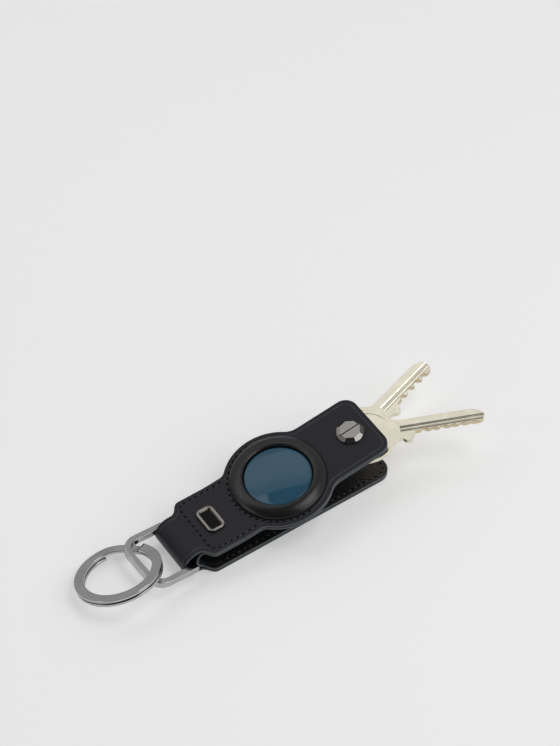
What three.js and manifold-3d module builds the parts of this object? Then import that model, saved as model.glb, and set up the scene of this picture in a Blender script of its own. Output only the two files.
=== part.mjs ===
// Folding leather key case. A strip of leather folds round the bar of a D-ring, its upper cover
// holds a round tracker and, on a binding screw, two keys. Millimetres, +Z up, +X towards the keys.
// The origin is on the underside of the lower cover, on the centre line, below the tracker.
import * as THREE from "three";
import { mergeVertices } from "three/addons/utils/BufferGeometryUtils.js";
import Module from "manifold-3d";

const wasm = await Module();
wasm.setup();

// Driving dimensions. An S value is measured along the leather from the crest of the fold.
const FOLD_X = -52;
const BEND_RADIUS = 6.43;
const LEATHER = 1.3;
const LINING = 1.1;
const GLUE_GAP = 0.2;
const GAP = 0.3;
const SLIM_GAP = 0.15;

// Plan of the covers
const NECK_HALF = 10.5;
const NECK_END_S = 7.5;
const SHOULDER_S = 13.8;
const COVER_HALF = 14.8;
const BULGE_RADIUS = 22.4;
const STRAP_FILLET = 4;
const TAB_FILLET = 8;
const TAB_HALF = 15.4;
const TAB_CORNER = 5.5;
const LOWER_CORNER = 6;
const RING_S = 52.1;
const SCREW_S = 87.2;
const TAB_END_S = 97.2;
const LOWER_END_S = 98.2;

// The upper cover lies level over the strap, then rises in a straight panel
const CREASE_S = 27;
const CREASE_RADIUS = 70;
const PANEL_RISE = THREE.MathUtils.degToRad(7.3);

// The lining folds in a smaller loop, so that the D-ring's bar lies between the two leathers
const LINING_CREST = 6.1;
const OUTER_SPLIT = 0.3;
const LINING_SPLIT = 1.0;

// Tracker holder: a moulded ring gripping the leather like a grommet
const HOLDER_BORE = 14.05;
const HOLDER_NECK = 16.9;
const HOLDER_SKIRT = 19.6;
const HOLDER_FLANGE = 18.4;
const HOLDER_HEIGHT = 2.85;
const HOLDER_FLOOR = 0.7;
const THUMB_HOLE = 9.5;

// Tracker, sizes in its own axis: heights are above the panel's top face
const TRACKER_RADIUS = 13.75;
const TRACKER_BASE = -2.45;
const TRACKER_EDGE = 1.6;
const TRACKER_CROWN = 2.4;
const TRACKER_WALL = 0.9;
const DOOR_RADIUS = 12.4;
const DOOR_THICK = 0.6;
const DOOR_SLOT = 0.9;
const CELL_RADIUS = 10;
const CELL_THICK = 1.6;
const BOARD_THICK = 0.4;
const CONTACT_THICK = 0.2;
const SOUNDER_RADIUS = 5.5;
const SOUNDER_THICK = 0.3;

// Binding screw, post and keys
const HEAD_RADIUS = 5.7;
const HEAD_TOP_RADIUS = 4.6;
const HEAD_HEIGHT = 2.2;
const HEAD_FACETS = 8;
const HEAD_SLOT = 0.75;
const SHANK_RADIUS = 1.5;
const SHANK_LENGTH = 8;
const POST_RADIUS = 2.5;
const POST_BORE = 1.75;
const FLANGE_RADIUS = 5.5;
const FLANGE_THICK = 1.2;
const WASHER_RADIUS = 4.5;
const WASHER_THICK = 0.6;
const KEY_THICK = 2.2;
const KEY_BOW_RADIUS = 12.35;
const KEY_BOW_OFFSET = 6.1;
const KEY_SPINE = 4.85;
const KEY_NECK = -4.2;
const KEY_STOP = -5.8;
const KEY_STOP_START = 20.6;
const KEY_STOP_END = 26.2;
const KEY_CUT_ROOT = 1.1;
const KEY_GROOVE_WIDTH = 1.4;
const KEY_GROOVE_DEPTH = 0.6;
const KEY_A = { tip: 54.4, edge: -1.5, pitch: 3.8, angle: -27.5, cuts: [0.9, 0.5, 0.8, 0.3, 0.6, 0.4] };
const KEY_B = { tip: 48.4, edge: -2.5, pitch: 4.4, angle: 14, cuts: [1.0, 1.7, 1.8, 1.1] };

// Hardware at the fold
const D_BAR_S = 3.65;
const D_WIRE = 2.4;
const D_HEIGHT = 3;
const D_HALF = 13.45;
const D_LENGTH = 19.1;
const D_CORNER = 7;
const D_PITCH = THREE.MathUtils.degToRad(6.9);
const D_YAW = THREE.MathUtils.degToRad(2.2);
const SPLIT_CENTRE = new THREE.Vector3(FOLD_X - 22.5, 1.35, 7.85);
const SPLIT_RADIUS = 17.75;
const SPLIT_BAND = 3.9;
const SPLIT_WIRE = 1.05;
const SPLIT_TURN_GAP = 0.5;
const SPLIT_ROLL = THREE.MathUtils.degToRad(-21.6);
const SPLIT_PITCH = THREE.MathUtils.degToRad(-3.3);
const SPLIT_END_ANGLE = THREE.MathUtils.degToRad(25);
const PLATE_S = 19.6;
const PLATE = { length: 7.6, width: 12, thick: 1.1, border: 1.1, recess: 0.5, corner: 1.6 };

// Finishes
const finish = (color, roughness, metalness) => ({ color, roughness, metalness });
const BLACK_LEATHER = finish(0x2d2c31, 0.5, 0);
const BLACK_LINING = finish(0x161517, 0.75, 0);
const CHARCOAL_RUBBER = finish(0x333133, 0.55, 0);
const BLUE_GLOSS = finish(0x1d4258, 0.12, 0);
const GUNMETAL = finish(0x8a8a8c, 0.22, 1);
const NICKEL_SILVER = finish(0xd4cbb3, 0.28, 1);
const STEEL = finish(0xb9babb, 0.3, 1);
const BOARD_GREEN = finish(0x1f4a33, 0.5, 0);
const BRASS = finish(0xb99a55, 0.3, 1);
const DARK_PLASTIC = finish(0x2b2d30, 0.5, 0);

// Booleans on closed meshes
function toSolid(geometry) {
  const bare = geometry.clone();
  bare.deleteAttribute("normal");
  bare.deleteAttribute("uv");
  const merged = mergeVertices(bare, 1e-4);
  const vertProperties = new Float32Array(merged.attributes.position.array);
  const triVerts = new Uint32Array(merged.index.array);
  return new wasm.Manifold(new wasm.Mesh({ numProp: 3, vertProperties, triVerts }));
}

function toGeometry(solid) {
  const mesh = solid.getMesh();
  const geometry = new THREE.BufferGeometry();
  geometry.setAttribute("position", new THREE.BufferAttribute(mesh.vertProperties, 3));
  geometry.setIndex(new THREE.BufferAttribute(mesh.triVerts, 1));
  geometry.computeVertexNormals();
  return geometry;
}

function cut(geometry, ...tools) {
  let solid = toSolid(geometry);
  for (const tool of tools) solid = solid.subtract(toSolid(tool));
  return toGeometry(solid);
}

function join(geometry, ...others) {
  let solid = toSolid(geometry);
  for (const other of others) solid = solid.add(toSolid(other));
  return toGeometry(solid);
}

function common(a, b) {
  return toGeometry(toSolid(a).intersect(toSolid(b)));
}

// Basic shapes
function prism(shape, depth, bottom, curveSegments = 10) {
  const options = { depth, bevelEnabled: false, curveSegments };
  return new THREE.ExtrudeGeometry(shape, options).translate(0, 0, bottom);
}

function sideBlade(points) {
  const width = 3 * BULGE_RADIUS;
  const blade = new THREE.ExtrudeGeometry(new THREE.Shape(points), { depth: width, bevelEnabled: false });
  return blade.rotateX(Math.PI / 2).translate(0, width / 2, 0);
}

function drum(radius, bottom, top, segments = 32) {
  const cylinder = new THREE.CylinderGeometry(radius, radius, top - bottom, segments);
  return cylinder.rotateX(Math.PI / 2).translate(0, 0, (top + bottom) / 2);
}

function block(x, y, z, cx, cy, cz) {
  return new THREE.BoxGeometry(x, y, z).translate(cx, cy, cz);
}

function lathe(profile, segments = 48) {
  const points = profile.map(([r, h]) => new THREE.Vector2(r, h));
  points.push(points[0].clone());
  return new THREE.LatheGeometry(points, segments).rotateX(Math.PI / 2);
}

function washerRing(outer, inner, bottom, top, segments = 32) {
  return lathe([[inner, bottom], [outer, bottom], [outer, top], [inner, top]], segments);
}

function addPart(parent, name, geometry, look) {
  const mesh = new THREE.Mesh(geometry, new THREE.MeshStandardMaterial(look));
  mesh.name = name;
  parent.add(mesh);
  return mesh;
}

// Frames of the case: the whole object, then the rising panel of the upper cover
const keyCase = new THREE.Group();
const CREASE_X = FOLD_X + CREASE_S;
const STRAP_TOP = 2 * BEND_RADIUS;
const panel = new THREE.Group();
panel.position.set(CREASE_X, 0, STRAP_TOP);
panel.rotation.y = -PANEL_RISE;
keyCase.add(panel);
panel.updateMatrix();

const RING_X = RING_S - CREASE_S;
const SCREW_X = SCREW_S - CREASE_S;
const PANEL_THICK = LEATHER + GLUE_GAP + LINING;
const onPanel = (geometry) => geometry.applyMatrix4(panel.matrix);

// Plan outlines: one side is drawn and mirrored
function mirrored(side) {
  const points = side.getPoints(8);
  const other = points.map((p) => new THREE.Vector2(p.x, -p.y)).reverse();
  return new THREE.Shape([...points, ...other]);
}

function neckSide() {
  const side = new THREE.Path();
  const middle = (NECK_END_S + SHOULDER_S) / 2;
  side.moveTo(FOLD_X - 1, NECK_HALF);
  side.lineTo(FOLD_X + NECK_END_S, NECK_HALF);
  const bend = FOLD_X + middle;
  side.bezierCurveTo(bend, NECK_HALF, bend, COVER_HALF, FOLD_X + SHOULDER_S, COVER_HALF);
  return side;
}

function endCorner(side, end, half, corner) {
  side.lineTo(end - corner, half);
  side.absarc(end - corner, half - corner, corner, Math.PI / 2, 0, true);
}

function upperPlan() {
  const flat = Math.cos(PANEL_RISE);
  const ring = CREASE_X + RING_X * flat;
  const end = CREASE_X + (TAB_END_S - CREASE_S) * flat;
  const fillet = (half, radius) => {
    const reach = BULGE_RADIUS + radius;
    return { dx: Math.sqrt(reach ** 2 - (half + radius) ** 2), y: half + radius, radius };
  };
  const a = fillet(COVER_HALF, STRAP_FILLET);
  const b = fillet(TAB_HALF, TAB_FILLET);
  const angleA = Math.atan2(a.y, a.dx);
  const angleB = Math.atan2(b.y, b.dx);
  const side = neckSide();
  side.lineTo(ring - a.dx, COVER_HALF);
  side.absarc(ring - a.dx, a.y, a.radius, -Math.PI / 2, -angleA, false);
  side.absarc(ring, 0, BULGE_RADIUS, Math.PI - angleA, angleB, true);
  side.absarc(ring + b.dx, b.y, b.radius, Math.PI + angleB, 1.5 * Math.PI, false);
  endCorner(side, end, TAB_HALF, TAB_CORNER);
  return mirrored(side);
}

function lowerPlan() {
  const side = neckSide();
  endCorner(side, FOLD_X + LOWER_END_S, COVER_HALF, LOWER_CORNER);
  return mirrored(side);
}

// Side profiles of a leather layer between two depths under the visible face
function arc(cx, cz, radius, from, to, steps = 10) {
  const points = [];
  for (let i = 0; i <= steps; i++) {
    const angle = from + ((to - from) * i) / steps;
    points.push(new THREE.Vector2(cx + radius * Math.cos(angle), cz + radius * Math.sin(angle)));
  }
  return points;
}

function upperLine(depth, crest, split) {
  const radius = BEND_RADIUS - depth;
  const start = Math.PI - split / 2 / radius;
  const bend = arc(FOLD_X + crest + radius, BEND_RADIUS, radius, start, Math.PI / 2);
  const reach = CREASE_RADIUS * Math.tan(PANEL_RISE / 2);
  const centre = STRAP_TOP + CREASE_RADIUS;
  const low = -Math.PI / 2;
  const rise = arc(CREASE_X - reach, centre, CREASE_RADIUS + depth, low, low + PANEL_RISE, 5);
  const far = TAB_END_S + BULGE_RADIUS - CREASE_S;
  const end = new THREE.Vector3(far, 0, -depth).applyMatrix4(panel.matrix);
  return [...bend, ...rise, new THREE.Vector2(end.x, end.z)];
}

function lowerLine(depth, crest, split) {
  const radius = BEND_RADIUS - depth;
  const start = Math.PI + split / 2 / radius;
  const bend = arc(FOLD_X + crest + radius, BEND_RADIUS, radius, start, 1.5 * Math.PI);
  return [...bend, new THREE.Vector2(FOLD_X + LOWER_END_S + BULGE_RADIUS, depth)];
}

function layer(line, plan, top, bottom, crest, split) {
  const outside = line(top, crest, split);
  const inside = line(bottom, crest + bottom - top, split).reverse();
  return common(sideBlade([...outside, ...inside]), prism(plan, 60, -10));
}

// Covers and linings, with the holes for the tracker holder and the screw post
function panelHoles() {
  const holder = drum(HOLDER_NECK + GAP, -10, 10, 64).translate(RING_X, 0, 0);
  const post = drum(POST_RADIUS + GAP, -10, 10, 24).translate(SCREW_X, 0, 0);
  return [onPanel(holder), onPanel(post)];
}

const LINING_TOP = LEATHER + GLUE_GAP;
const upperCover = layer(upperLine, upperPlan(), 0, LEATHER, 0, OUTER_SPLIT);
const upperLining = layer(upperLine, upperPlan(), LINING_TOP, PANEL_THICK, LINING_CREST, LINING_SPLIT);
const lowerCover = layer(lowerLine, lowerPlan(), 0, LEATHER, 0, OUTER_SPLIT);
const lowerLining = layer(lowerLine, lowerPlan(), LINING_TOP, PANEL_THICK, LINING_CREST, LINING_SPLIT);
addPart(keyCase, "lower_cover", lowerCover, BLACK_LEATHER);
addPart(keyCase, "lower_lining", lowerLining, BLACK_LINING);
addPart(keyCase, "upper_cover", cut(upperCover, ...panelHoles()), BLACK_LEATHER);
addPart(keyCase, "upper_lining", cut(upperLining, ...panelHoles()), BLACK_LINING);

// Plain metal plate on the strap, with a raised border
function roundedRectangle(length, width, corner) {
  const x = length / 2;
  const y = width / 2;
  const shape = new THREE.Shape();
  shape.absarc(x - corner, y - corner, corner, 0, Math.PI / 2, false);
  shape.absarc(corner - x, y - corner, corner, Math.PI / 2, Math.PI, false);
  shape.absarc(corner - x, corner - y, corner, Math.PI, 1.5 * Math.PI, false);
  shape.absarc(x - corner, corner - y, corner, 1.5 * Math.PI, 2 * Math.PI, false);
  return shape;
}

function strapPlate() {
  const { length, width, thick, border, recess, corner } = PLATE;
  const body = prism(roundedRectangle(length, width, corner), thick, 0, 5);
  const inner = roundedRectangle(length - 2 * border, width - 2 * border, corner - border / 2);
  return cut(body, prism(inner, thick, thick - recess, 5));
}

const plate = addPart(keyCase, "strap_plate", strapPlate(), GUNMETAL);
plate.position.set(FOLD_X + PLATE_S, 0, STRAP_TOP + SLIM_GAP);

// Tracker holder
const holderSeat = new THREE.Group();
holderSeat.position.x = RING_X;
panel.add(holderSeat);
const FLOOR_TOP = TRACKER_BASE - SLIM_GAP;
const FLOOR_BOTTOM = FLOOR_TOP - HOLDER_FLOOR;

function trackerHolder() {
  const clamp = -PANEL_THICK - SLIM_GAP;
  const crown = HOLDER_HEIGHT;
  return lathe([
    [HOLDER_BORE, FLOOR_TOP],
    [THUMB_HOLE, FLOOR_TOP],
    [THUMB_HOLE, FLOOR_BOTTOM],
    [HOLDER_FLANGE, FLOOR_BOTTOM],
    [HOLDER_FLANGE, clamp],
    [HOLDER_NECK, clamp],
    [HOLDER_NECK, SLIM_GAP],
    [HOLDER_SKIRT, SLIM_GAP],
    [HOLDER_SKIRT, 0.25 * crown],
    [HOLDER_SKIRT - 0.5, 0.5 * crown],
    [HOLDER_NECK + 1, 0.85 * crown],
    [HOLDER_NECK - 0.6, crown],
    [HOLDER_BORE + 1, crown],
    [HOLDER_BORE + 0.2, 0.9 * crown],
    [HOLDER_BORE, 0.7 * crown],
  ], 64);
}

addPart(holderSeat, "tracker_holder", trackerHolder(), CHARCOAL_RUBBER);

// Tracker: a domed front shell, a coin-cell door at the back, and the electronics between them
function domeHeight(r, crown) {
  return crown - (TRACKER_CROWN - TRACKER_EDGE) * (r / TRACKER_RADIUS) ** 2;
}

function trackerFront() {
  const inner = DOOR_RADIUS + GAP;
  const ceiling = TRACKER_CROWN - TRACKER_WALL;
  const profile = [[0, TRACKER_CROWN]];
  const rings = [0.3, 0.6, 0.85, 0.96];
  for (const f of rings) profile.push([f * TRACKER_RADIUS, domeHeight(f * TRACKER_RADIUS, TRACKER_CROWN)]);
  profile.push([TRACKER_RADIUS, TRACKER_EDGE - 0.4]);
  profile.push([TRACKER_RADIUS, TRACKER_BASE], [inner, TRACKER_BASE]);
  profile.push([inner, domeHeight(inner, ceiling)]);
  for (const f of [0.6, 0.3]) profile.push([f * TRACKER_RADIUS, domeHeight(f * TRACKER_RADIUS, ceiling)]);
  profile.push([0, ceiling]);
  const points = profile.reverse().map(([r, h]) => new THREE.Vector2(r, h));
  return new THREE.LatheGeometry(points, 48).rotateX(Math.PI / 2);
}

const CELL_BASE = TRACKER_BASE + DOOR_THICK + SLIM_GAP;
const CONTACT_BASE = CELL_BASE + CELL_THICK + SLIM_GAP;
const BOARD_BASE = CONTACT_BASE + CONTACT_THICK + SLIM_GAP;
const SOUNDER_BASE = BOARD_BASE + BOARD_THICK + SLIM_GAP;

function batteryDoor() {
  const disc = drum(DOOR_RADIUS, TRACKER_BASE, TRACKER_BASE + DOOR_THICK, 40);
  const slotDepth = DOOR_THICK / 2;
  const slot = block(CELL_RADIUS, DOOR_SLOT, 2 * slotDepth, 0, 0, TRACKER_BASE);
  return cut(disc, slot);
}

function batteryContact() {
  const strip = block(14, 2.4, CONTACT_THICK, 0, 0, CONTACT_BASE + CONTACT_THICK / 2);
  return join(strip, drum(2.6, CONTACT_BASE, CONTACT_BASE + CONTACT_THICK, 24));
}

function circuitBoard() {
  const board = drum(11.6, BOARD_BASE, BOARD_BASE + BOARD_THICK, 40);
  const notch = block(4, 3, 4, 11.6, 0, BOARD_BASE);
  return cut(board, notch);
}

addPart(holderSeat, "tracker_front", trackerFront(), BLUE_GLOSS);
addPart(holderSeat, "battery_door", batteryDoor(), STEEL);
addPart(holderSeat, "coin_cell", drum(CELL_RADIUS, CELL_BASE, CELL_BASE + CELL_THICK, 40), STEEL);
const holderTop = CELL_BASE + CELL_THICK;
const cellFrame = washerRing(DOOR_RADIUS, CELL_RADIUS + GAP, CELL_BASE, holderTop, 40);
addPart(holderSeat, "cell_frame", cellFrame, DARK_PLASTIC);
addPart(holderSeat, "battery_contact", batteryContact(), BRASS);
addPart(holderSeat, "circuit_board", circuitBoard(), BOARD_GREEN);
const sounder = drum(SOUNDER_RADIUS, SOUNDER_BASE, SOUNDER_BASE + SOUNDER_THICK, 32);
addPart(holderSeat, "sounder", sounder, BRASS);

// Binding screw and its post, washers and keys, from the tab's top face down
const screwSeat = new THREE.Group();
screwSeat.position.x = SCREW_X;
panel.add(screwSeat);
const KEY_A_TOP = FLOOR_BOTTOM - 0.4;
const TOP_WASHER = KEY_A_TOP + SLIM_GAP;
const KEY_A_BASE = KEY_A_TOP - KEY_THICK;
const MID_WASHER = KEY_A_BASE - SLIM_GAP - WASHER_THICK;
const KEY_B_BASE = MID_WASHER - SLIM_GAP - KEY_THICK;
const FLANGE_TOP = KEY_B_BASE - GAP;

function bindingScrew() {
  const seat = SLIM_GAP;
  const facets = new THREE.CylinderGeometry(HEAD_TOP_RADIUS, HEAD_RADIUS, HEAD_HEIGHT, HEAD_FACETS);
  const head = facets.rotateX(Math.PI / 2).rotateZ(Math.PI / HEAD_FACETS);
  head.translate(0, 0, seat + HEAD_HEIGHT / 2);
  const shank = drum(SHANK_RADIUS, -SHANK_LENGTH, seat + HEAD_HEIGHT / 2, 20);
  const top = seat + HEAD_HEIGHT;
  const slot = block(3 * HEAD_RADIUS, HEAD_SLOT, HEAD_SLOT * 2, 0, 0, top);
  return cut(join(head, shank), slot.rotateZ(THREE.MathUtils.degToRad(6)));
}

function screwPost() {
  const foot = FLANGE_TOP - FLANGE_THICK;
  const bore = -SHANK_LENGTH - GAP;
  return lathe([
    [0, bore],
    [POST_BORE, bore],
    [POST_BORE, -GAP],
    [POST_RADIUS, -GAP],
    [POST_RADIUS, FLANGE_TOP],
    [FLANGE_RADIUS, FLANGE_TOP],
    [FLANGE_RADIUS, foot + 0.4],
    [FLANGE_RADIUS - 0.6, foot],
    [0, foot],
  ].reverse(), 32);
}

function keyWasher(bottom, thick) {
  return washerRing(WASHER_RADIUS, POST_RADIUS + GAP, bottom, bottom + thick, 32);
}

addPart(screwSeat, "binding_screw", bindingScrew(), GUNMETAL);
addPart(screwSeat, "screw_post", screwPost(), GUNMETAL);
const topWasherThick = -PANEL_THICK - SLIM_GAP - TOP_WASHER;
addPart(screwSeat, "top_washer", keyWasher(TOP_WASHER, topWasherThick), STEEL);
addPart(screwSeat, "middle_washer", keyWasher(MID_WASHER, WASHER_THICK), STEEL);

// A key lies along +X from the screw: round bow, stop tooth, straight spine and a bitted edge
function keyOutline({ tip, edge, pitch, cuts }) {
  const spineAngle = Math.asin(KEY_SPINE / KEY_BOW_RADIUS);
  const neckAngle = Math.asin(-KEY_NECK / KEY_BOW_RADIUS);
  const shape = new THREE.Shape();
  shape.absarc(KEY_BOW_OFFSET, 0, KEY_BOW_RADIUS, spineAngle, 2 * Math.PI - neckAngle, false);
  shape.lineTo(KEY_STOP_START, KEY_NECK);
  shape.lineTo(KEY_STOP_START + 1.8, KEY_STOP);
  shape.lineTo(KEY_STOP_START + 3.6, KEY_STOP);
  shape.lineTo(KEY_STOP_END, edge);
  cuts.forEach((depth, i) => {
    const x = KEY_STOP_END + 0.8 * pitch + pitch * i;
    const flank = depth * 0.75;
    const root = KEY_CUT_ROOT / 2;
    shape.lineTo(x - root - flank, edge);
    shape.lineTo(x - root, edge + depth);
    shape.lineTo(x + root, edge + depth);
    shape.lineTo(x + root + flank, edge);
  });
  shape.lineTo(tip - 2.2, edge);
  shape.lineTo(tip, edge + 2.6);
  shape.lineTo(tip - 0.4, KEY_SPINE - 2.4);
  shape.lineTo(tip - 4.7, KEY_SPINE);
  return shape;
}

function key(base, sizes) {
  const blank = prism(keyOutline(sizes), KEY_THICK, base, 28);
  const hole = drum(POST_RADIUS + GAP, base - 1, base + KEY_THICK + 1, 24);
  const start = KEY_BOW_OFFSET + KEY_BOW_RADIUS + 2;
  const groove = (z, y) => {
    const length = sizes.tip;
    return block(length, KEY_GROOVE_WIDTH, 2 * KEY_GROOVE_DEPTH, start + length / 2, y, z);
  };
  return cut(blank, hole, groove(base + KEY_THICK, 0.7), groove(base, 2.6));
}

function addKey(name, base, sizes) {
  const mesh = addPart(screwSeat, name, key(base, sizes), NICKEL_SILVER);
  mesh.rotation.z = THREE.MathUtils.degToRad(sizes.angle);
}

addKey("key_a", KEY_A_BASE, KEY_A);
addKey("key_b", KEY_B_BASE, KEY_B);

// D-ring: flat wire standing on edge, square at the bar in the fold and round at the far end
function dRing() {
  const rear = D_WIRE / 2;
  const outline = (grow) => {
    const half = D_HALF - D_WIRE + grow;
    const reach = D_LENGTH - D_WIRE + grow;
    const corner = D_CORNER - D_WIRE + grow;
    const side = new THREE.Path();
    side.moveTo(rear - (grow > 0 ? 0 : D_WIRE), half);
    side.lineTo(corner - reach, half);
    side.absarc(corner - reach, half - corner, corner, Math.PI / 2, Math.PI, false);
    return mirrored(side);
  };
  const body = prism(outline(D_WIRE), D_HEIGHT, -D_HEIGHT / 2);
  return cut(body, prism(outline(0), 3 * D_HEIGHT, -1.5 * D_HEIGHT));
}

const dRingMesh = addPart(keyCase, "d_ring", dRing(), GUNMETAL);
dRingMesh.position.set(FOLD_X + D_BAR_S, 0, BEND_RADIUS);
dRingMesh.rotation.set(0, D_PITCH, D_YAW, "ZYX");

// Split ring: one flat wire wound nearly twice, stepping from the upper turn to the lower one
const SPLIT_STEP_START = THREE.MathUtils.degToRad(304);
const SPLIT_STEP_END = THREE.MathUtils.degToRad(356);
const SPLIT_TURNED = THREE.MathUtils.degToRad(662);
const SPLIT_STEPS = 108;
const SPLIT_LIFT = (SPLIT_WIRE + SPLIT_TURN_GAP) / 2;

function splitRingHeight(turned) {
  const along = THREE.MathUtils.smoothstep(turned, SPLIT_STEP_START, SPLIT_STEP_END);
  return SPLIT_LIFT * (1 - 2 * along);
}

function splitRing() {
  const corners = [
    [SPLIT_RADIUS - SPLIT_BAND, -SPLIT_WIRE / 2],
    [SPLIT_RADIUS, -SPLIT_WIRE / 2],
    [SPLIT_RADIUS, SPLIT_WIRE / 2],
    [SPLIT_RADIUS - SPLIT_BAND, SPLIT_WIRE / 2],
  ];
  const positions = [];
  for (let i = 0; i <= SPLIT_STEPS; i++) {
    const turned = (SPLIT_TURNED * i) / SPLIT_STEPS;
    const angle = SPLIT_END_ANGLE - turned;
    for (const [r, h] of corners) {
      positions.push(r * Math.cos(angle), r * Math.sin(angle), h + splitRingHeight(turned));
    }
  }
  const faces = [];
  for (let i = 0; i < SPLIT_STEPS; i++) {
    for (let k = 0; k < 4; k++) {
      const a = 4 * i + k;
      const b = 4 * i + ((k + 1) % 4);
      faces.push(a, b, b + 4, a, b + 4, a + 4);
    }
  }
  const last = 4 * SPLIT_STEPS;
  faces.push(0, 2, 1, 0, 3, 2, last, last + 1, last + 2, last, last + 2, last + 3);
  const geometry = new THREE.BufferGeometry();
  geometry.setAttribute("position", new THREE.Float32BufferAttribute(positions, 3));
  geometry.setIndex(faces);
  geometry.computeVertexNormals();
  return geometry;
}

// Least gap between the two turns, measured where one lies over the other
function splitRingTurnGap() {
  let least = Infinity;
  for (let i = 0; i <= SPLIT_STEPS; i++) {
    const turned = (SPLIT_TURNED * i) / SPLIT_STEPS;
    const under = turned + 2 * Math.PI;
    if (under > SPLIT_TURNED) continue;
    least = Math.min(least, splitRingHeight(turned) - splitRingHeight(under) - SPLIT_WIRE);
  }
  return least;
}

console.log(`split ring: least gap between turns ${splitRingTurnGap().toFixed(2)} mm`);
const splitSeat = new THREE.Group();
splitSeat.position.copy(SPLIT_CENTRE);
splitSeat.rotation.y = SPLIT_PITCH;
keyCase.add(splitSeat);
const splitMesh = addPart(splitSeat, "split_ring", splitRing(), GUNMETAL);
splitMesh.rotation.x = SPLIT_ROLL;

export default keyCase;
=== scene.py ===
import math

import bpy
from mathutils import Matrix, Vector


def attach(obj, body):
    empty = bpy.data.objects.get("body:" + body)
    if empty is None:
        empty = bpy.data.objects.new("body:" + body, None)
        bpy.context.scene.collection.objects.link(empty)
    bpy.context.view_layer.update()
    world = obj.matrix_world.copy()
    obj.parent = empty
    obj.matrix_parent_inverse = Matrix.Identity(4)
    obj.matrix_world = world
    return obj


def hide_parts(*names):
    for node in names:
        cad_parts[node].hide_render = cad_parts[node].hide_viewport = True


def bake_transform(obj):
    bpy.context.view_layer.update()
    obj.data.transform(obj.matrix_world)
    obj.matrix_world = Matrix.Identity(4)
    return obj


bl_info = {
    "name": "Leather Key Case",
    "version": (1, 0, 0),
    "blender": (4, 5, 0),
    "location": "View3D > Sidebar > Key Case",
    "description": "Builds a folding leather key case with a round tracker, two keys and its rings",
    "category": "Object",
}

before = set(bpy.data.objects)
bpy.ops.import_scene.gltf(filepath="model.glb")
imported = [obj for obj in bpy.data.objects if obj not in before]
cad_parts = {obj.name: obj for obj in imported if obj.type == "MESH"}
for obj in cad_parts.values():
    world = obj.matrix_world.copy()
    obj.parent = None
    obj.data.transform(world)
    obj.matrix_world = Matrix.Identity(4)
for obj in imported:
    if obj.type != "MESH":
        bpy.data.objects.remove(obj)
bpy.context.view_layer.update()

# Sizes are in millimetres, as in the CAD source. Angles are in degrees, unless made radians here.
MM = 0.001

# Covers: S is the distance from the fold's crest along an open cover, HALF half a width, HOLE a radius
FOLD_X = -52.0
BEND_RADIUS = 6.43
PANEL_THICK = 2.6
NECK_HALF = 10.5
NECK_END_S = 7.5
SHOULDER_S = 13.8
COVER_HALF = 14.8
BULGE_RADIUS = 22.4
STRAP_FILLET = 4.0
TAB_FILLET = 8.0
TAB_HALF = 15.4
TAB_CORNER = 5.5
LOWER_CORNER = 6.0
RING_S = 52.1
SCREW_S = 87.2
TAB_END_S = 97.2
LOWER_END_S = 98.2
HOLDER_HOLE = 17.2
POST_HOLE = 2.8
CUTTER_LENGTH = 8.0

# Fold: the lining is glued below the outer leather and turns in a smaller loop of its own
GLUE_DEPTH = 1.32
LINING_BEND = BEND_RADIUS - GLUE_DEPTH
LINING_CENTRE_S = 11.03
LINING_THICK = PANEL_THICK - GLUE_DEPTH
# What a bend adds to the distance S on the flat strip
OUTER_SHIFT = BEND_RADIUS * (math.pi / 2 - 1)
LINING_SHIFT = LINING_BEND * math.pi / 2 - LINING_CENTRE_S
# Line that the strips are folded along: spacing of its points, its straight ends, steps of its arcs
GUIDE_STEP = 0.5
GUIDE_LOWER = 125.0
GUIDE_UPPER = 95.0
BEND_POINTS = 120
RISE_POINTS = 30
# Slices across a flat strip at each bend
BEND_CUTS = 40
RISE_CUTS = 10

# Panel: the stretch of the upper cover beyond a soft bend, where it rises towards the tab
RISE_S = 27.0
RISE_RADIUS = 70.0
PANEL_RISE = math.radians(7.3)
RISE_REACH = RISE_RADIUS * math.tan(PANEL_RISE / 2)
RISE_X = FOLD_X + RISE_S
STRAP_TOP = 2 * BEND_RADIUS
PANEL = Matrix.Translation((RISE_X, 0, STRAP_TOP)) @ Matrix.Rotation(-PANEL_RISE, 4, "Y")
RING_SEAT = PANEL @ Matrix.Translation((RING_S - RISE_S, 0, 0))
SCREW_SEAT = PANEL @ Matrix.Translation((SCREW_S - RISE_S, 0, 0))

# Seams: a seam across the strap in a groove of its own, one round the tracker between two angles
CROSS_SEAM_S = 12.2
CROSS_GROOVE_WIDTH = 0.6
CROSS_GROOVE_LENGTH = 22.4
CROSS_GROOVE_DEPTH = 0.18
ROUND_SEAM = (88.0, 280.0)
SEAM_CORNER = 1.6
SEAM_START = 0.6
SEAM_GAP = 1.2
STITCH_SLANT = 7.0
THREAD_RISE = 0.42
# Needle holes: slant to the seam, stretch of the awl along and across the slant, and depth
NEEDLE_SLANT = 24.0
NEEDLE_BLADE = (1.45, 0.75)
NEEDLE_DEPTH = 0.8
# Rounding of the floor of the pressed crease, whose rounded faces take the lighter edge paint as a painted
# highlight line
CREASE_HIGHLIGHT_ROUND = 0.2

# Holder: radius and height of the points round its section, from the inner wall by the flange to the crown
HOLDER_PROFILE = (
    (14.05, -2.6), (9.5, -2.6), (9.5, -3.3), (18.4, -3.3), (18.4, -2.72), (16.9, -2.72), (16.9, 0.1),
    (19.6, 0.1), (19.62, 0.55), (19.5, 0.95), (19.15, 1.36), (18.6, 1.75), (17.9, 2.12), (17.1, 2.43),
    (16.3, 2.66), (15.6, 2.79), (15.05, 2.83), (14.65, 2.78), (14.35, 2.62), (14.15, 2.38), (14.05, 2.0),
    (14.05, -2.6))
HOLDER_ROUND = 0.12

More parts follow.
